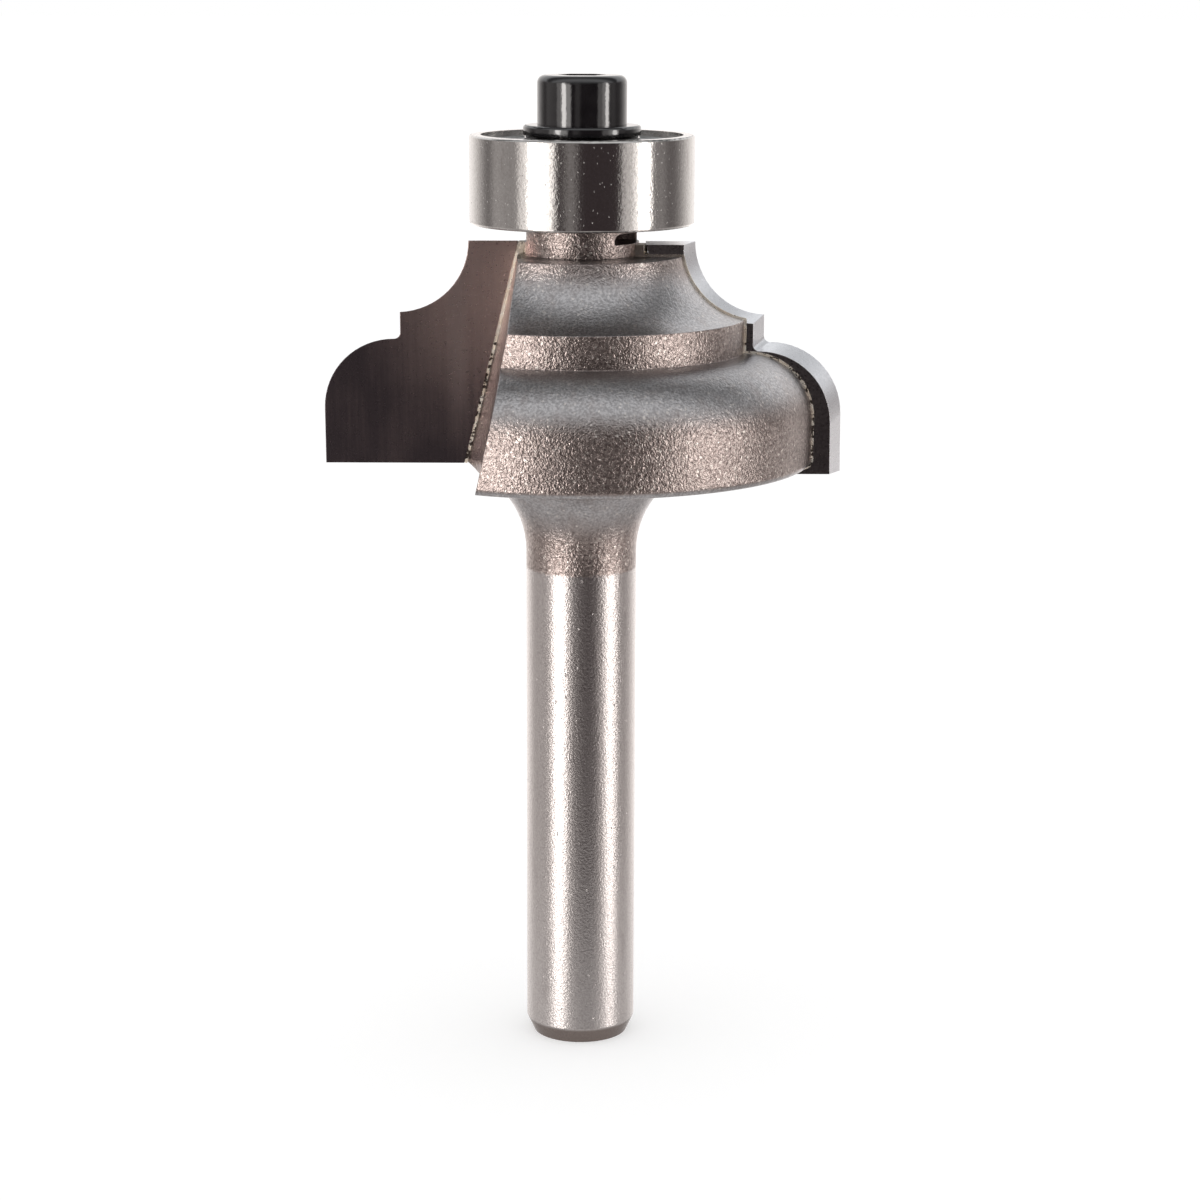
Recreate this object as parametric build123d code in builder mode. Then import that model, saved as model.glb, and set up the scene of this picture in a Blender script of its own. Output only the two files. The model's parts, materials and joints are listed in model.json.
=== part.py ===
from build123d import *
from math import atan2, cos, degrees, radians, sin, sqrt, tan
import os

# Classical bead-and-cove router bit with a ball bearing guide, standing on its shank.
# Sizes are in millimetres. Z is the axis of rotation and z = 0 is the foot of the shank.
# The cutting face of the left tip looks towards -Y, so the bit cuts counter-clockwise
# seen from above. The other tip, gullet and seam are the same ones turned half a turn.

os.makedirs("parts", exist_ok=True)

# Shank and neck
shank_diameter = 6.35
shank_straight = 29.1
foot_chamfer_height = 0.94
foot_chamfer_width = 0.43
neck_fillet = 5.25

# Cutting profile of the tips, measured along their leaning faces
cut_diameter = 29.52
tip_drop = 0.38
land_height = 3.27
bead_radius = 4.04
step_fillet = 0.36
step_height = 1.55
cove_radius = 4.12
cove_over_guide = 0.07

# Tips as pieces of carbide
tip_thickness = 1.25
rake_offset = 1.08
tip_tilt = 5.0
tip_to_collar = 0.36
shoulder_lean = 13.8
relief_in = 0.68
relief_down = 0.38
top_relief = 0.1

# Head of the body, set back from the cutting profile
head_setback = 1.54
rim_radius = 0.45
body_bead_less = 0.39
body_bead_rise = 2.77
ring_setback = 1.03
body_cove_more = 0.33
body_cove_shift = 0.36
body_cove_lift = 0.1
shoulder_below_tip = 0.75
collar_diameter = 6.5
collar_height = 1.73

# Gullets in front of the tips
gullet_inset_bottom = 1.07
gullet_inset_top = 0.16
gullet_turn = 3.5
gullet_corner_depth = 3.2
nick_reach = 1.85
nick_back = 0.9
nick_height = 0.6
nick_corner = 0.4

# Braze between tip and body
braze_film = 0.08
braze_seam = 0.18
braze_bead = 0.12
braze_recess = 0.05

# Ball bearing
bearing_diameter = 12.7
bearing_bore = 4.763
bearing_width = 4.978
bearing_corner = 0.15
ball_diameter = 2.381
ball_count = 7
ball_play = 0.02
first_ball_angle = 22.0
groove_ease = 0.05
groove_depth = 0.36
inner_face_wall = 0.87
lip_wall = 0.65
shield_seat_depth = 0.08
shield_recess = 0.34
shield_sheet = 0.2
shield_rim = 0.4
shield_dish = 0.08
shield_fit = 0.01
shield_gap = 0.1
cage_sheet = 0.2
cage_inner_gap = 0.3
cage_outer_gap = 0.25
cage_pocket_play = 0.04
cage_tab_width = 0.5
cage_tab_sheet = 0.1
cage_tab_fit = 0.01
cage_tab_hold = 0.4

# Spigot, washer and screw
spigot_fit = 0.01
spigot_below_face = 0.4
spigot_chamfer = 0.15
thread_diameter = 3.175
thread_fit = 0.02
thread_length = 9.5
thread_run_out = 1.0
washer_diameter = 6.65
washer_thickness = 0.54
washer_edge = 0.18
washer_fit = 0.1
screw_head_diameter = 5.05
screw_head_height = 2.76
screw_head_edge = 0.45
screw_point_chamfer = 0.3
socket_across_flats = 2.38
socket_depth = 1.4

# Heights and radii that follow from the sizes above
shank_radius = shank_diameter / 2
head_bottom = shank_straight + neck_fillet
tip_bottom = head_bottom - tip_drop
cut_radius = cut_diameter / 2
bead_centre_x = cut_radius - bead_radius
step_x = bead_centre_x - step_fillet
face_height = land_height + bead_radius + step_height + cove_radius
tip_top = tip_bottom + face_height * cos(radians(tip_tilt))
tip_top_x = bearing_diameter / 2 + cove_over_guide
cove_centre_x = tip_top_x + cove_radius
seat_depth = tip_thickness + braze_film
head_radius = cut_radius - head_setback
body_bead_radius = bead_radius - body_bead_less
body_bead_z = head_bottom + body_bead_rise
ring_radius = step_x - ring_setback
body_cove_radius = cove_radius + body_cove_more
shoulder_z = tip_top - shoulder_below_tip
collar_radius = collar_diameter / 2
bearing_bottom = shoulder_z + collar_height
bearing_mid = bearing_bottom + bearing_width / 2
bearing_top = bearing_bottom + bearing_width
pitch_radius = (bearing_diameter + bearing_bore) / 4
ball_radius = ball_diameter / 2
groove_radius = ball_radius + groove_ease
outer_groove_x = pitch_radius + ball_radius + ball_play
inner_groove_x = pitch_radius - ball_radius - ball_play
outer_shoulder_x = outer_groove_x - groove_depth
inner_shoulder_x = inner_groove_x + groove_depth
cage_outer_x = outer_shoulder_x - cage_outer_gap
cage_inner_x = inner_shoulder_x + cage_inner_gap
lip_x = bearing_diameter / 2 - lip_wall
inner_face_x = bearing_bore / 2 + inner_face_wall
spigot_top = bearing_top - spigot_below_face
head_seat = bearing_top + washer_thickness
half_width = bearing_width / 2
seat_step = half_width - shield_recess - shield_sheet - shield_seat_depth
lip_foot = half_width - shield_recess
shield_seat_x = lip_x + shield_seat_depth
shield_bend_x = shield_seat_x - shield_rim
shield_bore_x = inner_face_x + shield_gap
bearing_section = Plane(origin=(0, 0, bearing_mid), x_dir=(1, 0, 0), z_dir=(0, -1, 0))
tab_outer_x = cage_outer_x + cage_tab_fit + cage_tab_sheet
first_tab_angle = first_ball_angle + 180 / ball_count
tab_align = (Align.MAX, Align.CENTER, Align.MIN)
tab_foot_z = bearing_mid - cage_sheet
tab_fold_z = bearing_mid + cage_sheet + cage_tab_fit
tab_steps = [
    (cage_tab_hold, cage_sheet, tab_foot_z),
    (cage_tab_sheet, tab_fold_z + cage_tab_sheet - tab_foot_z, tab_foot_z),
    (cage_tab_hold, cage_tab_sheet, tab_fold_z),
]
overreach = 2 * cut_radius
floor_below_head = head_bottom - neck_fillet
half_turn = (0, 0, 180)


def shoulder_x(level):
    """Distance of the tip's inner edge from the axis at a height."""
    return collar_radius + tip_to_collar + (tip_top - level) * tan(radians(shoulder_lean))


def rake_y(level):
    """Distance of the cutting face behind the axis at a height; its top leans forward."""
    return rake_offset - (level - tip_bottom) * tan(radians(tip_tilt))


def face_plane(depth):
    """Plane of the cutting face, or one straight behind it, with its origin at the tip's foot."""
    normal = (0, -cos(radians(tip_tilt)), -sin(radians(tip_tilt)))
    return Plane(origin=(0, rake_offset + depth, tip_bottom), x_dir=(1, 0, 0), z_dir=normal)


def face_rise(level):
    """Height above the tip's foot, measured along the cutting face."""
    return (level - tip_bottom) / cos(radians(tip_tilt))


def finish(part, name):
    """Label a piece and write it under its node name."""
    part.label = name
    export_step(part, f"parts/{name}.step")


# Outline of a tip, on the plane of its cutting face or its back
def tip_outline(depth, inward, down, top_down):
    """Bead, step and cove left of the axis, moved by the relief behind the edge."""
    bead_x = -(bead_centre_x - inward)
    edge_x = -(cut_radius - inward)
    wall_x = -(step_x - inward)
    cove_x = -(cove_centre_x - inward)
    bead_y = land_height - down
    ledge_y = bead_y + bead_radius
    cove_y = face_height - down
    cove_foot_y = cove_y - sqrt(cove_radius**2 - (wall_x - cove_x) ** 2)
    top_y = face_height - top_down
    top_x = cove_x + sqrt(cove_radius**2 - (top_y - cove_y) ** 2)
    bottom_corner = (-shoulder_x(tip_bottom), 0)
    top_corner = (-shoulder_x(tip_bottom + top_y * cos(radians(tip_tilt))), top_y)
    with BuildSketch(face_plane(depth)) as outline:
        with BuildLine():
            Polyline(top_corner, bottom_corner, (edge_x, 0), (edge_x, bead_y))
            CenterArc((bead_x, bead_y), bead_radius, 180, -90)
            CenterArc((wall_x - step_fillet, ledge_y + step_fillet), step_fillet, -90, 90)
            Line((wall_x, ledge_y + step_fillet), (wall_x, cove_foot_y))
            RadiusArc((wall_x, cove_foot_y), (top_x, top_y), -cove_radius)
            Line((top_x, top_y), top_corner)
        make_face()
    return outline.sketch


# Left carbide tip, ruled from its cutting edge back to its relieved outline
with BuildPart() as carbide_tip_left:
    front = tip_outline(0, 0, 0, 0)
    back = tip_outline(tip_thickness, relief_in, relief_down, top_relief)
    loft([front, back], ruled=True)
finish(carbide_tip_left.part, "carbide_tip_left")

# Right carbide tip, half a turn round
with BuildPart() as carbide_tip_right:
    add(carbide_tip_left.part, rotation=half_turn)
finish(carbide_tip_right.part, "carbide_tip_right")


# Half section of the head, from the neck to the shoulder under the collar
def head_section(grow):
    """Turned outline of shank, neck and head, grown all round by a braze bead's width."""
    body_bead_x = head_radius - body_bead_radius
    bead_meets_ring = sqrt(body_bead_radius**2 - (ring_radius - body_bead_x) ** 2)
    bead_sweep = degrees(atan2(bead_meets_ring, ring_radius - body_bead_x))
    cove_x = cove_centre_x - body_cove_shift
    cove_z = tip_top + body_cove_lift
    cove_foot_z = cove_z - sqrt(body_cove_radius**2 - (ring_radius - cove_x) ** 2)
    cove_top_x = cove_x - sqrt(body_cove_radius**2 - (shoulder_z - cove_z) ** 2)
    rim_x = head_radius - rim_radius
    with BuildSketch(Plane.XZ) as section:
        with BuildLine():
            Polyline(
                (0, shoulder_z),
                (0, 0),
                (shank_radius - foot_chamfer_width, 0),
                (shank_radius, foot_chamfer_height),
                (shank_radius, shank_straight),
            )
            CenterArc((shank_radius + neck_fillet, shank_straight), neck_fillet, 180, -90)
            Line((shank_radius + neck_fillet, head_bottom), (rim_x, head_bottom))
            CenterArc((rim_x, head_bottom + rim_radius), rim_radius, -90, 90)
            Line((head_radius, head_bottom + rim_radius), (head_radius, body_bead_z))
            CenterArc((body_bead_x, body_bead_z), body_bead_radius, 0, bead_sweep)
            Line((ring_radius, body_bead_z + bead_meets_ring), (ring_radius, cove_foot_z))
            RadiusArc((ring_radius, cove_foot_z), (cove_top_x, shoulder_z), body_cove_radius)
            Line((cove_top_x, shoulder_z), (0, shoulder_z))
        make_face()
        if grow:
            offset(amount=grow)
    return section.sketch


# Plan of a gullet: flat wall, then a curve that runs out at the tip's inner edge
def gullet_plan(level):
    """Higher up, the wall comes nearer the tip's inner edge and turns towards the axis."""
    share = (level - head_bottom) / (tip_top - head_bottom)
    inset = gullet_inset_bottom + (gullet_inset_top - gullet_inset_bottom) * share
    turn = share * tan(radians(gullet_turn))
    corner = (-(shoulder_x(level) - braze_seam), rake_y(level))
    bend = (-(shoulder_x(level) - inset), rake_y(level) - gullet_corner_depth)
    mouth = (bend[0] + turn * (bend[1] + overreach), -overreach)
    with BuildSketch(Plane.XY.offset(level)) as plan:
        with BuildLine():
            Line(mouth, bend)
            TangentArc(bend, corner, tangent=(-turn, 1))
            Polyline(corner, (-overreach, rake_y(level)), (-overreach, -overreach), mouth)
        make_face()
    return plan.sketch


# Slab left of the axis, between two depths behind the cutting face
def leaning_slab(front, back, reach, low):
    """Its inner face leans with the tip's inner edge, as far nearer the axis as the reach."""
    high = tip_top + collar_height
    outlines = []
    for depth in (front, back):
        with BuildSketch(face_plane(depth)) as outline:
            with BuildLine():
                Polyline(
                    (-(shoulder_x(low) - reach), face_rise(low)),
                    (-(shoulder_x(high) - reach), face_rise(high)),
                    (-overreach, face_rise(high)),
                    (-overreach, face_rise(low)),
                    close=True,
                )
            make_face()
        outlines.append(outline.sketch)
    with BuildPart() as slab:
        loft(outlines, ruled=True)
    return slab.part


# Room milled out of the left of the head for its gullet and its tip
with BuildPart() as left_room:
    loft([gullet_plan(floor_below_head), gullet_plan(tip_top)], ruled=True)
    add(leaning_slab(0, seat_depth, braze_seam, floor_below_head))

# Nick in the collar over the left tip, round at its inner upper corner
with BuildPart() as left_nick:
    with BuildSketch(Plane.XZ.offset(nick_back)) as nick_outline:
        with Locations((-nick_reach, tip_top)):
            Rectangle(overreach, nick_height, align=(Align.MAX, Align.MIN))
        fillet(nick_outline.vertices().group_by(Axis.X)[-1].sort_by(Axis.Y)[-1], nick_corner)
    extrude(amount=-overreach)

# Body: shank, neck and head, milled, then the collar and the spigot with its tapped hole
with BuildPart() as cutter_body:
    add(head_section(0))
    revolve(axis=Axis.Z)
    add(left_room.part, mode=Mode.SUBTRACT)
    add(left_room.part, rotation=half_turn, mode=Mode.SUBTRACT)
    with BuildSketch(Plane.XY.offset(shoulder_z)):
        Circle(collar_radius)
    extrude(amount=collar_height)
    add(left_nick.part, mode=Mode.SUBTRACT)
    add(left_nick.part, rotation=half_turn, mode=Mode.SUBTRACT)
    with BuildSketch(Plane.XY.offset(bearing_bottom)):
        Circle(bearing_bore / 2 - spigot_fit)
    extrude(amount=spigot_top - bearing_bottom)
    chamfer(cutter_body.faces().sort_by(Axis.Z)[-1].edges(), spigot_chamfer)
    with Locations(Plane.XY.offset(spigot_top)):
        Hole(thread_diameter / 2 + thread_fit, depth=thread_length + thread_run_out)
finish(cutter_body.part, "cutter_body")

# Braze: film behind the left tip, seam along its inner edge, bead round the film, and the
# filling between the tip and the collar
with BuildPart() as braze_space:
    add(leaning_slab(braze_recess, seat_depth, braze_seam, floor_below_head))
    add(leaning_slab(braze_recess, seat_depth, collar_radius, shoulder_z))
    add(leaning_slab(0, tip_thickness, 0, floor_below_head), mode=Mode.SUBTRACT)

with BuildPart() as braze_seam_left:
    add(head_section(braze_bead))
    revolve(axis=Axis.Z)
    with BuildSketch(Plane.XY.offset(shoulder_z)):
        Circle(collar_radius + tip_to_collar + braze_bead)
    extrude(amount=tip_top - top_relief - shoulder_z)
    with BuildSketch(Plane.XY.offset(shoulder_z)):
        Circle(collar_radius)
    extrude(amount=collar_height, mode=Mode.SUBTRACT)
    add(braze_space.part, mode=Mode.INTERSECT)
finish(braze_seam_left.part, "braze_seam_left")

with BuildPart() as braze_seam_right:
    add(braze_seam_left.part, rotation=half_turn)
finish(braze_seam_right.part, "braze_seam_right")


# Bearing rings: upper half of a section, mirrored, with the ball groove cut out
def ring_section(half_outline, groove_x):
    with BuildSketch(bearing_section) as section:
        with BuildLine():
            Polyline(*half_outline, close=True)
        make_face()
        mirror(about=Plane.XZ)
        with Locations((groove_x, 0)):
            Circle(groove_radius, mode=Mode.SUBTRACT)
    return section.sketch


with BuildPart() as bearing_inner_ring:
    inner_outline = [
        (bearing_bore / 2, 0),
        (bearing_bore / 2, half_width - bearing_corner),
        (bearing_bore / 2 + bearing_corner, half_width),
        (inner_face_x - bearing_corner, half_width),
        (inner_face_x, half_width - bearing_corner),
        (inner_face_x, seat_step - shield_gap),
        (inner_shoulder_x, seat_step - shield_gap),
        (inner_shoulder_x, 0),
    ]
    add(ring_section(inner_outline, inner_groove_x + groove_radius))
    revolve(axis=Axis.Z)
finish(bearing_inner_ring.part, "bearing_inner_ring")

with BuildPart() as bearing_outer_ring:
    outer_outline = [
        (outer_shoulder_x, 0),
        (outer_shoulder_x, seat_step),
        (shield_seat_x, seat_step),
        (shield_seat_x, lip_foot),
        (lip_x, lip_foot),
        (lip_x, half_width),
        (bearing_diameter / 2, half_width),
        (bearing_diameter / 2, 0),
    ]
    add(ring_section(outer_outline, outer_groove_x - groove_radius))
    revolve(axis=Axis.Z)
    round_edges = bearing_outer_ring.edges().filter_by(GeomType.CIRCLE)
    fillet(round_edges.group_by(SortBy.RADIUS)[-1], bearing_corner)
finish(bearing_outer_ring.part, "bearing_outer_ring")

# Shields: thin pressed discs held under the outer ring's lips, clear of the inner ring
with BuildPart() as shield_upper:
    with BuildSketch(bearing_section):
        with BuildLine():
            Polyline(
                (shield_seat_x - shield_fit, seat_step),
                (shield_seat_x - shield_fit, lip_foot),
                (shield_bend_x, lip_foot),
                (shield_bend_x - shield_dish, lip_foot - shield_dish),
                (shield_bore_x, lip_foot - shield_dish),
                (shield_bore_x, lip_foot - shield_dish - shield_sheet),
                (shield_bend_x - shield_dish, lip_foot - shield_dish - shield_sheet),
                (shield_bend_x, seat_step),
                close=True,
            )
        make_face()
    revolve(axis=Axis.Z)
finish(shield_upper.part, "shield_upper")

with BuildPart() as shield_lower:
    mirror(shield_upper.part, about=Plane.XY.offset(bearing_mid))
finish(shield_lower.part, "shield_lower")

# Balls
for number in range(ball_count):
    angle = radians(first_ball_angle + number * 360 / ball_count)
    with BuildPart() as ball:
        with Locations((pitch_radius * cos(angle), pitch_radius * sin(angle), bearing_mid)):
            Sphere(ball_radius)
    finish(ball.part, f"ball_{number + 1}")


# Ribbon cage: two pressed rings with a cup over each ball, held by bent tabs between
def cage_half(side):
    middle = Plane.XY.offset(bearing_mid)
    with BuildPart() as half:
        with Locations(middle):
            with PolarLocations(pitch_radius, ball_count, start_angle=first_ball_angle):
                Sphere(ball_radius + cage_pocket_play + cage_sheet)
        with BuildSketch(middle):
            Circle(overreach)
            Circle(cage_outer_x, mode=Mode.SUBTRACT)
            Circle(cage_inner_x)
        extrude(amount=ball_diameter, both=True, mode=Mode.SUBTRACT)
        with BuildSketch(middle):
            Circle(overreach)
        extrude(amount=-side * ball_diameter, mode=Mode.SUBTRACT)
        with BuildSketch(middle):
            Circle(cage_outer_x)
            Circle(cage_inner_x, mode=Mode.SUBTRACT)
        extrude(amount=side * cage_sheet)
        with Locations(middle):
            with PolarLocations(pitch_radius, ball_count, start_angle=first_ball_angle):
                Sphere(ball_radius + cage_pocket_play, mode=Mode.SUBTRACT)
    return half.part


with BuildPart() as cage_upper:
    add(cage_half(1))
finish(cage_upper.part, "cage_upper")

with BuildPart() as cage_lower:
    add(cage_half(-1))
    # Each tab rises outside the upper ring and is bent in over its edge
    for length, height, level in tab_steps:
        with Locations((0, 0, level)):
            with PolarLocations(tab_outer_x, ball_count, start_angle=first_tab_angle):
                Box(length, cage_tab_width, height, align=tab_align)
finish(cage_lower.part, "cage_lower")

# Washer, rounded on its upper edge
with BuildPart() as washer:
    with BuildSketch(Plane.XY.offset(bearing_top)):
        Circle(washer_diameter / 2)
        Circle(thread_diameter / 2 + washer_fit, mode=Mode.SUBTRACT)
    extrude(amount=washer_thickness)
    fillet(washer.edges().group_by(Axis.Z)[-1].sort_by(SortBy.RADIUS)[-1], washer_edge)
finish(washer.part, "washer")

# Socket head cap screw; its thread is left as the plain cylinder over the crests
with BuildPart() as bearing_screw:
    with BuildSketch(Plane.XY.offset(head_seat)):
        Circle(screw_head_diameter / 2)
    extrude(amount=screw_head_height)
    fillet(bearing_screw.faces().sort_by(Axis.Z)[-1].edges(), screw_head_edge)
    with BuildSketch(Plane.XY.offset(head_seat)):
        Circle(thread_diameter / 2)
    extrude(amount=-thread_length)
    chamfer(bearing_screw.faces().sort_by(Axis.Z)[0].edges(), screw_point_chamfer)
    with BuildSketch(Plane.XY.offset(head_seat + screw_head_height)):
        RegularPolygon(socket_across_flats / 2, 6, major_radius=False)
    extrude(amount=-socket_depth, mode=Mode.SUBTRACT)
finish(bearing_screw.part, "bearing_screw")
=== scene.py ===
import json
import math
from collections import namedtuple

import bpy
from mathutils import Matrix, Vector

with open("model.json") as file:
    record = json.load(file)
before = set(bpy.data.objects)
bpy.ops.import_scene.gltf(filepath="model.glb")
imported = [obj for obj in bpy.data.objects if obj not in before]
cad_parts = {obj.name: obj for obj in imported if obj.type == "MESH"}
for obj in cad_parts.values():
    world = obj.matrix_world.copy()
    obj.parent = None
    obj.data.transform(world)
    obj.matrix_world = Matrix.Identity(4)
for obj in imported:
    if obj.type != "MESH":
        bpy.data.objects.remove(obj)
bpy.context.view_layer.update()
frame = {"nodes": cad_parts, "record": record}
nodes = frame["nodes"]

# Camera, in metres, degrees and millimetres of lens
camera_place = (0.001097, -0.16754, 0.06263)
camera_pitch = 77.705
camera_roll = 0.195
camera_lens = 88.62

# Edges on the object, in millimetres above the shank's end or from the axis
polish_top = 28.15
tip_top = 46.9
tip_inner_edge = 3.61
shoulder_slope = 0.2456

# Where each finish, painted shade and painted reflection begins and where it is full, as heights and as
# distances from the axis
# Painted shade on the foot's chamfer
chamfer_shade_height = (0.95, 0.75)
# Painted shade in the corners under the ring and the collar
ring_shade_low = (39.3, 40.1)
ring_shade_high = (41.4, 41.0)
ring_shade_out = (11.9, 10.4)
collar_shade_low = (45.9, 46.1)
collar_shade_out = (4.6, 4.0)
wall_below = (46.5, 46.2)
# Painted reflection on the gullet's wall beside the seam
wall_sheen_height = (41.0, 44.5)
wall_flux_height = (42.0, 40.5)
seam_flux_height = (42.5, 39.5)
# Painted shade at the seam's top, under the collar
seam_shade_height = (45.6, 46.2)
heat_height = (33.5, 46.5)
heat_out = (13.5, 6.5)
streak_height = (34.5, 41.0)
streak_out = 7.1

# Heights of bumps are given in microns, as metres
micron = 0.000001

# Studio, in metres
floor_radius = 3.0
card_radius = 0.8
card_centre = 0.04


def rgb(red, green, blue):
    return (red, green, blue, 1.0)


# Linear colours of the blasted steel. A pair runs from dark to light. The upright pair is darker and warm,
# the upward pair lighter and silver: painted shade and light by which way a face looks.
upright_shaded_steel = (rgb(0.27, 0.22, 0.203), rgb(0.53, 0.45, 0.42))
upward_lit_steel = (rgb(0.38, 0.367, 0.372), rgb(0.58, 0.565, 0.57))
streak_steel = rgb(0.36, 0.30, 0.28)
# Painted sparkle: light glints and dark grit specks on upright faces
painted_glint = rgb(1.0, 0.93, 0.86)
painted_grit_shade = rgb(0.16, 0.13, 0.12)
# Painted shade for the corners under the ring and the collar
ring_shade_colour = rgb(0.13, 0.12, 0.125)
collar_shade_colour = rgb(0.07, 0.058, 0.056)
# Painted reflection: a pale patch on the gullet's wall beside the seam
wall_sheen_colour = rgb(0.92, 0.80, 0.70)
wall_flux_colour = rgb(0.07, 0.05, 0.045)

# The polished shank
polish_light = rgb(0.64, 0.60, 0.58)
polish_dark = rgb(0.49, 0.45, 0.44)
polish_grime = rgb(0.34, 0.30, 0.29)
polish_scratch = rgb(0.80, 0.78, 0.76)
# Painted shade on the foot's chamfer, for the shadowed floor that it reflects
chamfer_shade = rgb(0.20, 0.155, 0.135)

# The carbide
rake_cold = rgb(0.105, 0.085, 0.092)
rake_heated = rgb(0.57, 0.43, 0.40)
rake_streak = rgb(0.46, 0.37, 0.355)
flank_light = rgb(0.94, 0.945, 0.97)
flank_dark = rgb(0.85, 0.855, 0.88)
back_dark = rgb(0.19, 0.17, 0.17)
back_light = rgb(0.25, 0.225, 0.225)

# The braze
braze_pale = rgb(1.0, 0.95, 0.86)
braze_gold = rgb(0.95, 0.84, 0.70)
braze_flux = rgb(0.05, 0.035, 0.03)
# Painted shade at the top's back, under the collar
braze_shade = rgb(0.16, 0.12, 0.11)

# The bearing, screw and washer
bearing_wear = rgb(0.30, 0.26, 0.25)
oxide_dark = rgb(0.005, 0.0045, 0.0055)
oxide_light = rgb(0.010, 0.009, 0.010)


class Graph:
    """A material's node tree, with short names for the nodes used here."""

    def __init__(self, name):
        self.material = bpy.data.materials.new(name)
        self.material.use_nodes = True
        self.tree = self.material.node_tree
        self.tree.nodes.clear()
        self.output = self.tree.nodes.new("ShaderNodeOutputMaterial")

    def put(self, socket, value):
        if isinstance(value, bpy.types.NodeSocket):
            self.tree.links.new(value, socket)
        else:
            socket.default_value = value

    def node(self, kind, **values):
        made = self.tree.nodes.new(kind)
        for key, value in values.items():
            setattr(made, key, value)
        return made

    def filled(self, made, *values):
        """The first output of a node whose inputs are filled in order."""
        for socket, value in zip(made.inputs, values):
            self.put(socket, value)
        return made.outputs[0]

    def calc(self, operation, *inputs, clamp=False):
        return self.filled(self.node("ShaderNodeMath", operation=operation, use_clamp=clamp), *inputs)

    def product(self, first, *others):
        for other in others:
            first = self.calc("MULTIPLY", first, other)
        return first

    def swing(self, value, amount):
        """A noise of 0 to 1 moved to either side of zero."""
        return self.product(self.calc("SUBTRACT", value, 0.5), amount)

    def from_axis(self, x, y):
        """Distance from the object's axis."""
        return self.calc("SQRT", self.calc("ADD", self.product(x, x), self.product(y, y)))

    def coordinate(self, output):
        return self.node("ShaderNodeTexCoord").outputs[output]

    def millimetres(self):
        """Place on the object at rest, in millimetres."""
        return self.scale(self.coordinate("Object"), 1000.0)

    def stretch(self, vector, factors):
        return self.filled(self.node("ShaderNodeVectorMath", operation="MULTIPLY"), vector, factors)

    def scale(self, vector, factor):
        made = self.node("ShaderNodeVectorMath", operation="SCALE")
        self.put(made.inputs["Scale"], factor)
        return self.filled(made, vector)

    def sum(self, first, second):
        return self.filled(self.node("ShaderNodeVectorMath", operation="ADD"), first, second)

    def ramp(self, value, stops):
        made = self.node("ShaderNodeValToRGB")
        elements = made.color_ramp.elements
        while len(elements) < len(stops):
            elements.new(0.5)
        for element, (position, level) in zip(elements, stops):
            element.position = position
            element.color = rgb(level, level, level)
        return self.filled(made, value)

    def parts(self, vector):
        made = self.node("ShaderNodeSeparateXYZ")
        self.put(made.inputs[0], vector)
        return made.outputs

    def noise(self, vector, scale, detail=2.0, roughness=0.5):
        """Noise of 0 to 1, at so many waves per millimetre of the vector."""
        made = self.node("ShaderNodeTexNoise")
        self.put(made.inputs["Vector"], vector)
        self.put(made.inputs["Scale"], scale)
        self.put(made.inputs["Detail"], detail)
        self.put(made.inputs["Roughness"], roughness)
        return made.outputs["Fac"]

    def cells(self, vector, scale, output="Distance"):
        """Distance to the nearest of scattered points, or each point's own colour."""
        made = self.node("ShaderNodeTexVoronoi")
        self.put(made.inputs["Vector"], vector)
        self.put(made.inputs["Scale"], scale)
        return made.outputs[output]

    def span(self, value, low, high, start=0.0, end=1.0, smooth=True):
        """The value's way from low to high, as a value from start to end."""
        made = self.node("ShaderNodeMapRange", interpolation_type="SMOOTHSTEP" if smooth else "LINEAR")
        return self.filled(made, value, low, high, start, end)

    def blend(self, factor, first, second):
        made = self.node("ShaderNodeMix", data_type="RGBA")
        self.put(made.inputs[0], factor)
        self.put(made.inputs[6], first)
        self.put(made.inputs[7], second)
        return made.outputs[2]

    def rounded(self, radius):
        """Normal that rounds off sharp edges."""
        made = self.node("ShaderNodeBevel", samples=4)
        self.put(made.inputs["Radius"], radius)
        return made.outputs[0]

    def bump(self, height, distance, strength=1.0, normal=None):
        made = self.node("ShaderNodeBump")
        self.put(made.inputs["Height"], height)
        self.put(made.inputs["Distance"], distance)
        self.put(made.inputs["Strength"], strength)
        if normal is not None:
            self.put(made.inputs["Normal"], normal)
        return made.outputs[0]

    def metal(self, tone, roughness, normal):
        """Bare metal, whose colour is that of its reflection."""
        return self.shader(Base_Color=tone, Metallic=1.0, Roughness=roughness, Normal=normal)

    def shader(self, **values):
        made = self.node("ShaderNodeBsdfPrincipled")
        for key, value in values.items():
            self.put(made.inputs[key.replace("_", " ")], value)
        return made.outputs[0]

    def mix_shaders(self, factor, first, second):
        return self.filled(self.node("ShaderNodeMixShader"), factor, first, second)

    def finish(self, shader):
        self.put(self.output.inputs["Surface"], shader)
        return self.material


def seam_distance(g, x, z):
    """Millimetres from a tip's leaning inner edge, towards the outside."""
    lean = g.product(g.calc("SUBTRACT", z, tip_top), shoulder_slope)
    return g.calc("SUBTRACT", g.calc("ADD", g.calc("ABSOLUTE", x), lean), tip_inner_edge)


def cutting_side(g, x):
    """1 on a surface that faces the way its tip cuts, -1 on one that faces back."""
    return g.product(g.parts(g.coordinate("Normal"))[1], g.calc("SIGN", x))


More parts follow.
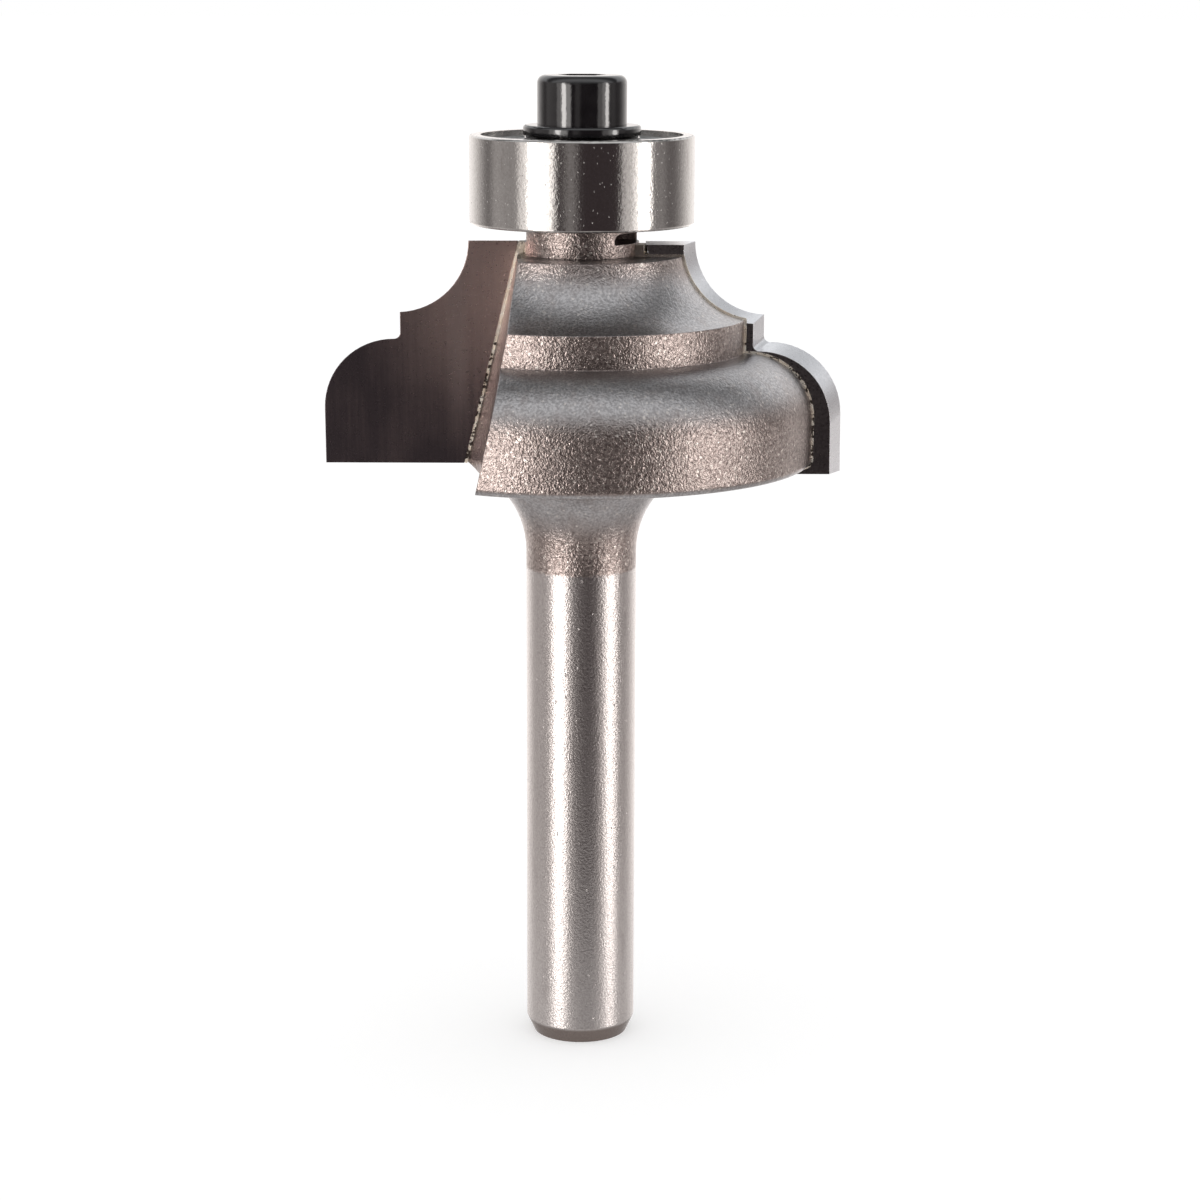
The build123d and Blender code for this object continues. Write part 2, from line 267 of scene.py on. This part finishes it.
def add_corner_shade(g, tone, x, y, z, tilt):
    """Painted shade on the flats in the corners under the ring and under the collar."""
    out = g.from_axis(x, y)
    flat = g.span(tilt, 0.5, 0.8)
    by_ring = g.product(g.span(z, *ring_shade_low), g.span(z, *ring_shade_high), g.span(out, *ring_shade_out))
    by_collar = g.product(g.span(z, *collar_shade_low), g.span(out, *collar_shade_out))
    tone = g.blend(g.product(by_ring, flat, 0.6), tone, ring_shade_colour)
    return g.blend(g.product(by_collar, flat, 0.9), tone, collar_shade_colour)


def add_wall_sheen_and_flux(g, tone, x, z, sideways, streaks):
    """A painted reflection: a pale patch on the gullet's wall beside the seam, over dark flux lower down.
    """
    off_seam = seam_distance(g, x, z)
    on_wall = g.product(g.span(sideways, 0.8, 0.9), g.span(z, *wall_below), g.span(off_seam, 0.0, -0.1))
    # Painted reflection of a strip light, paler higher up the wall
    sheen_edge = g.calc("ADD", off_seam, g.swing(streaks, 0.5))
    sheen = g.product(g.span(sheen_edge, -0.75, -0.3, 0.0, 0.6), g.span(z, *wall_sheen_height), on_wall)
    tone = g.blend(sheen, tone, wall_sheen_colour)
    flux = g.product(g.span(off_seam, -0.36, -0.24, 0.0, 0.85), g.span(z, *wall_flux_height), on_wall)
    return g.blend(flux, tone, wall_flux_colour)


def blasted_finish(g, place, fine):
    """Bead-blasted steel with painted light: darker, warm and with painted glints where it stands upright,
    lighter and silver where it faces up.
    """
    x, y, z = g.parts(place)
    normal = g.parts(g.coordinate("Normal"))
    tilt = g.calc("ABSOLUTE", normal[2])
    upright = g.span(tilt, 0.15, 0.6, 1.0, 0.5)
    dents = g.noise(place, 5.0, 2.0, 0.55)
    grain = g.noise(place, 7.0, 2.0, 0.6)
    streaks = g.noise(g.stretch(place, (1.1, 1.1, 0.12)), 1.0, 3.0, 0.6)
    glints = g.parts(g.cells(place, 8.0, output="Color"))
    # Painted shade and light: upright faces darker and warm, upward faces lighter and silver
    upright_shaded = g.blend(glints[0], *upright_shaded_steel)
    upward_lit = g.blend(g.span(grain, 0.38, 0.62), *upward_lit_steel)
    tone = g.blend(g.span(tilt, 0.15, 0.6), upright_shaded, upward_lit)
    tone = g.blend(g.span(streaks, 0.45, 0.75, 0.0, 0.3), tone, streak_steel)
    # Painted sparkle on upright faces: light glints and dark grit specks
    tone = g.blend(g.product(g.span(glints[1], 0.94, 1.0, 0.0, 0.7), upright), tone, painted_glint)
    tone = g.blend(g.product(g.span(glints[2], 0.93, 1.0, 0.0, 0.5), upright), tone, painted_grit_shade)
    # Painted shade in the corners under the ring and the collar
    tone = add_corner_shade(g, tone, x, y, z, tilt)
    # Painted reflection on the gullet's wall, over dark flux
    tone = add_wall_sheen_and_flux(g, tone, x, z, g.calc("ABSOLUTE", normal[0]), streaks)
    pits = g.bump(g.product(dents, upright), 45 * micron, 1.0, g.rounded(120 * micron))
    pits = g.bump(g.product(fine, upright), 22 * micron, 1.0, pits)
    return g.metal(tone, 0.28, pits)


def polished_finish(g, place):
    """Ground and polished steel with fine rings, grime, scratches and dings, and painted shade on the
    foot's chamfer.
    """
    z = g.parts(place)[2]
    rings = g.noise(g.stretch(place, (0.6, 0.6, 22.0)), 1.0, 3.0, 0.6)
    specks = g.noise(place, 8.0, 3.0, 0.65)
    grime = g.noise(g.stretch(place, (1.0, 1.0, 0.35)), 0.7, 4.0, 0.65)
    scratch = g.span(g.cells(g.stretch(place, (1.6, 1.6, 0.5)), 0.9), 0.0, 0.035, 0.35, 0.0)
    dings = g.span(g.cells(g.stretch(place, (1.3, 1.3, 0.6)), 1.2), 0.03, 0.09, 1.0, 0.0)
    tone = g.blend(g.span(specks, 0.35, 0.75), polish_light, polish_dark)
    tone = g.blend(g.span(grime, 0.55, 0.8, 0.0, 0.4), tone, polish_grime)
    tone = g.blend(scratch, tone, polish_scratch)
    # Painted shade on the foot's chamfer
    tone = g.blend(g.span(z, *chamfer_shade_height, 0.0, 0.8), tone, chamfer_shade)
    bumps = g.bump(rings, 4 * micron, 0.4)
    bumps = g.bump(specks, 30 * micron, 0.7, bumps)
    bumps = g.bump(dings, 40 * micron, 1.0, bumps)
    return g.mix_shaders(0.28, g.metal(tone, 0.14, bumps), g.metal(tone, 0.42, bumps))


def body_steel():
    """Bead-blasted head and neck over a ground and polished shank."""
    g = Graph("body_steel")
    place = g.millimetres()
    fine = g.noise(place, 10.0, 2.0, 0.6)
    edge = g.calc("ADD", g.parts(place)[2], g.swing(fine, 0.5))
    is_blasted = g.span(edge, polish_top - 0.08, polish_top + 0.08)
    return g.finish(g.mix_shaders(is_blasted, polished_finish(g, place), blasted_finish(g, place, fine)))


def carbide():
    """Ground carbide: cutting faces tinted near the braze, bright flanks, dark backs."""
    g = Graph("carbide")
    place = g.millimetres()
    x, _, z = g.parts(place)
    facing = cutting_side(g, x)
    is_rake = g.span(facing, 0.8, 0.95)
    is_back = g.span(facing, -0.95, -0.8, 1.0, 0.0)
    reach = g.calc("ABSOLUTE", x)
    fine = g.noise(place, 7.0, 3.0, 0.6)
    lines = g.noise(g.stretch(place, (5.0, 1.0, 0.15)), 1.0, 3.0, 0.6)
    cloud = g.noise(g.stretch(place, (0.35, 0.35, 0.2)), 1.0, 2.0)
    # The heat of brazing tints the face more the higher and the nearer the axis it is
    heat = g.product(g.span(z, *heat_height), g.span(reach, *heat_out))
    heat = g.calc("ADD", heat, g.swing(cloud, 0.35))
    heat = g.calc("ADD", heat, g.swing(lines, 0.22), clamp=True)
    rake = g.blend(heat, rake_cold, rake_heated)
    off_streak = g.calc("ABSOLUTE", g.calc("SUBTRACT", reach, streak_out))
    streak = g.product(g.span(off_streak, 0.1, 0.9, 0.55, 0.0), g.span(z, *streak_height), is_rake)
    rake = g.blend(streak, rake, rake_streak)
    flank = g.blend(g.span(fine, 0.35, 0.7), flank_light, flank_dark)
    back = g.blend(g.span(fine, 0.3, 0.7), back_dark, back_light)
    tone = g.blend(is_back, g.blend(is_rake, flank, rake), back)
    bumps = g.bump(lines, 10 * micron, 0.4, g.rounded(50 * micron))
    bumps = g.bump(fine, 10 * micron, 0.3, bumps)
    return g.finish(g.metal(tone, g.span(fine, 0.3, 0.7, 0.26, 0.34, False), bumps))


def braze():
    """Silver braze as it flowed: pale gold, with more dark flux lower down and painted shade at the top's
    back, under the collar.
    """
    g = Graph("braze")
    place = g.millimetres()
    x, _, z = g.parts(place)
    lumps = g.noise(place, 1.6, 3.0, 0.6)
    fine = g.noise(place, 5.0, 2.0)
    flux = g.calc("ADD", fine, g.span(z, *seam_flux_height, 0.0, 0.16))
    tone = g.blend(g.span(lumps, 0.35, 0.65), braze_pale, braze_gold)
    tone = g.blend(g.span(flux, 0.66, 0.72, 0.0, 0.95), tone, braze_flux)
    # Painted shade at the top's back, under the collar
    shade = g.product(g.span(cutting_side(g, x), -0.9, -0.3, 0.75, 0.0), g.span(z, *seam_shade_height))
    tone = g.blend(shade, tone, braze_shade)
    bumps = g.bump(lumps, 100 * micron, 0.6)
    bumps = g.bump(fine, 30 * micron, 0.6, bumps)
    return g.finish(g.metal(tone, 0.55, bumps))


def bearing_steel(name, light, dark, roughness):
    """Hard steel with fine grinding, worn patches and small nicks."""
    g = Graph(name)
    place = g.millimetres()
    rings = g.noise(g.stretch(place, (0.5, 0.5, 16.0)), 1.0, 3.0, 0.6)
    specks = g.noise(place, 6.0, 3.0, 0.6)
    wear = g.noise(g.stretch(place, (0.9, 0.9, 0.25)), 0.9, 4.0, 0.65)
    nicks = g.span(g.cells(g.stretch(place, (2.4, 2.4, 1.2)), 1.9), 0.04, 0.13, 1.0, 0.0)
    tone = g.blend(g.span(specks, 0.35, 0.7), light, dark)
    tone = g.blend(g.span(wear, 0.55, 0.75, 0.0, 0.35), tone, bearing_wear)
    bumps = g.bump(nicks, 40 * micron)
    bumps = g.bump(rings, 2 * micron, 0.4, bumps)
    bumps = g.bump(specks, 20 * micron, 0.4, bumps)
    return g.finish(g.metal(tone, g.span(specks, 0.3, 0.7, roughness, roughness * 1.6, False), bumps))


def black_oxide():
    """Glossy blackened steel of the screw and washer."""
    g = Graph("black_oxide")
    place = g.millimetres()
    waves = g.noise(place, 1.3, 3.0, 0.55)
    fine = g.noise(place, 8.0, 2.0)
    tone = g.blend(g.span(waves, 0.3, 0.7), oxide_dark, oxide_light)
    bumps = g.bump(waves, 30 * micron, 0.35)
    bumps = g.bump(fine, 6 * micron, 0.3, bumps)
    rough = g.span(fine, 0.3, 0.7, 0.06, 0.09, False)
    return g.finish(g.shader(Base_Color=tone, Roughness=rough, Normal=bumps, IOR=1.85))


materials = {
    "body_steel": body_steel(),
    "carbide": carbide(),
    "braze": braze(),
    "ring_steel": bearing_steel("ring_steel", rgb(0.64, 0.62, 0.60), rgb(0.56, 0.54, 0.52), 0.09),
    "shield_steel": bearing_steel("shield_steel", rgb(0.40, 0.40, 0.40), rgb(0.30, 0.30, 0.30), 0.3),
    "cage_steel": bearing_steel("cage_steel", rgb(0.50, 0.50, 0.50), rgb(0.40, 0.40, 0.40), 0.35),
    "ball_steel": bearing_steel("ball_steel", rgb(0.74, 0.74, 0.74), rgb(0.70, 0.70, 0.70), 0.05),
    "black_oxide": black_oxide(),
}
for part in frame["record"]["subparts"]:
    piece = nodes[part["node"]]
    piece.data.materials.clear()
    piece.data.materials.append(materials[part["material_slot"]])


# Floor: plain, white to the camera, and it keeps the object's shadow
floor_grey = rgb(0.62, 0.62, 0.62)
floor_glow = 0.44
# Reflections look through the floor: in part near the foot, in full farther out
fade_near = 0.008
fade_far = 0.05


def floor_material():
    g = Graph("floor")
    diffuse = g.node("ShaderNodeBsdfDiffuse")
    g.put(diffuse.inputs["Color"], floor_grey)
    path = g.node("ShaderNodeLightPath").outputs
    seen = g.calc("ADD", path["Is Camera Ray"], path["Is Glossy Ray"])
    seen = g.calc("ADD", seen, path["Is Transmission Ray"], clamp=True)
    glow = g.node("ShaderNodeEmission")
    g.put(glow.inputs["Strength"], g.product(seen, floor_glow))
    solid = g.filled(g.node("ShaderNodeAddShader"), diffuse.outputs[0], glow.outputs[0])
    x, y, _ = g.parts(g.coordinate("Object"))
    faded = g.span(g.from_axis(x, y), fade_near, fade_far, 0.7, 1.0)
    clear = g.node("ShaderNodeBsdfTransparent").outputs[0]
    return g.finish(g.mix_shaders(g.product(path["Is Glossy Ray"], faded), solid, clear))


bpy.ops.mesh.primitive_circle_add(vertices=128, radius=floor_radius, fill_type="NGON", location=(0, 0, 0))
floor = bpy.context.object
floor.name = "floor"
floor.data.materials.append(floor_material())

# Studio cards, which only glossy surfaces see. Each one's place is its azimuth in degrees to
# the right of the camera's side, and a level of 1 is white.
Card = namedtuple("Card", "centre half_width soft_edge level")
upright_cards = {
    "left strip": Card(-42.5, 10.5, 6.0, 1.1),
    "left strip fringe": Card(-47.0, 16.0, 7.0, 0.85),
    "left strip core": Card(-47.0, 4.0, 2.5, 5.4),
    "right strip": Card(64.0, 7.0, 7.0, 1.4),
    "right strip core": Card(67.0, 3.5, 2.5, 4.6),
    "left wing": Card(-82.0, 14.0, 16.0, 0.28),
    "right wing": Card(84.0, 3.0, 14.0, 0.17),
    "right strip fringe": Card(47.0, 3.0, 6.0, 0.65),
    "left glimmer": Card(-11.0, 2.0, 9.0, 0.2),
}
warm_front = (0.050, 0.039, 0.041)
strip_tint = (1.0, 0.965, 0.94)
# The white behind begins at the sides, lower down first
behind_level = 1.0
side_level = 0.12
low_side_level = 0.34
ground_level = 0.4
# Light overhead: degrees from the horizon in front, over the top, to the horizon behind, and level
sky_tint = (0.975, 0.985, 1.0)
sky_levels = {
    0: 0.25, 22: 0.26, 38: 0.5, 54: 0.85, 74: 0.78, 90: 0.38,
    104: 0.16, 118: 0.16, 127: 0.6, 134: 1.0, 180: 1.0,
}


def card_material():
    g = Graph("studio_cards")
    x, y, z = g.parts(g.coordinate("Object"))
    front = g.product(y, -1.0)
    height = g.calc("DIVIDE", z, card_radius)
    turn = g.product(g.calc("ARCTAN2", x, front), 180 / math.pi)
    aside = g.calc("ABSOLUTE", turn)
    level = g.span(aside, 105.0, 155.0, 0.0, behind_level)
    level = g.calc("ADD", level, g.span(aside, 60.0, 110.0, 0.0, side_level))
    for card in upright_cards.values():
        gap = g.calc("ABSOLUTE", g.calc("SUBTRACT", turn, card.centre))
        window = g.span(gap, card.half_width, card.half_width + card.soft_edge, card.level, 0.0)
        level = g.calc("ADD", level, window)
    low_sides = g.product(g.span(aside, 60.0, 110.0), g.span(height, -0.08, -0.2, 0.0, low_side_level))
    level = g.calc("ADD", level, low_sides)
    level = g.blend(g.span(height, -0.25, -0.62), level, rgb(ground_level, ground_level, ground_level))
    ring = g.sum(g.scale(strip_tint, level), warm_front)
    over = g.product(g.calc("ARCTAN2", z, front), 1 / math.pi)
    sky = g.ramp(over, [(angle / 180, light) for angle, light in sky_levels.items()])
    glow = g.node("ShaderNodeEmission")
    g.put(glow.inputs["Color"], g.blend(g.span(height, 0.1, 0.5), ring, g.stretch(sky, sky_tint)))
    return g.finish(glow.outputs[0])


bpy.ops.mesh.primitive_uv_sphere_add(
    segments=96, ring_count=48, radius=card_radius, location=(0, 0, card_centre)
)
cards = bpy.context.object
cards.name = "studio_cards"
cards.data.materials.append(card_material())
cards.visible_camera = False
cards.visible_diffuse = False
cards.visible_shadow = False
cards.visible_transmission = False

# Plain white surroundings
world = bpy.data.worlds.new("studio")
bpy.context.scene.world = world
world.use_nodes = True
background = world.node_tree.nodes["Background"].inputs
background["Color"].default_value = rgb(1.0, 1.0, 1.0)
background["Strength"].default_value = 1.0

# Camera at the photograph's angle
lens = bpy.data.cameras.new("camera")
lens.lens = camera_lens
lens.sensor_width = 36.0
lens.sensor_fit = "HORIZONTAL"
lens.clip_start = 0.01
lens.clip_end = 20.0
camera = bpy.data.objects.new("camera", lens)
bpy.context.scene.collection.objects.link(camera)
camera.matrix_world = (
    Matrix.Translation(Vector(camera_place))
    @ Matrix.Rotation(math.radians(camera_pitch), 4, "X")
    @ Matrix.Rotation(math.radians(camera_roll), 4, "Z")
)
bpy.context.scene.camera = camera

bpy.context.scene.view_settings.view_transform = "Standard"
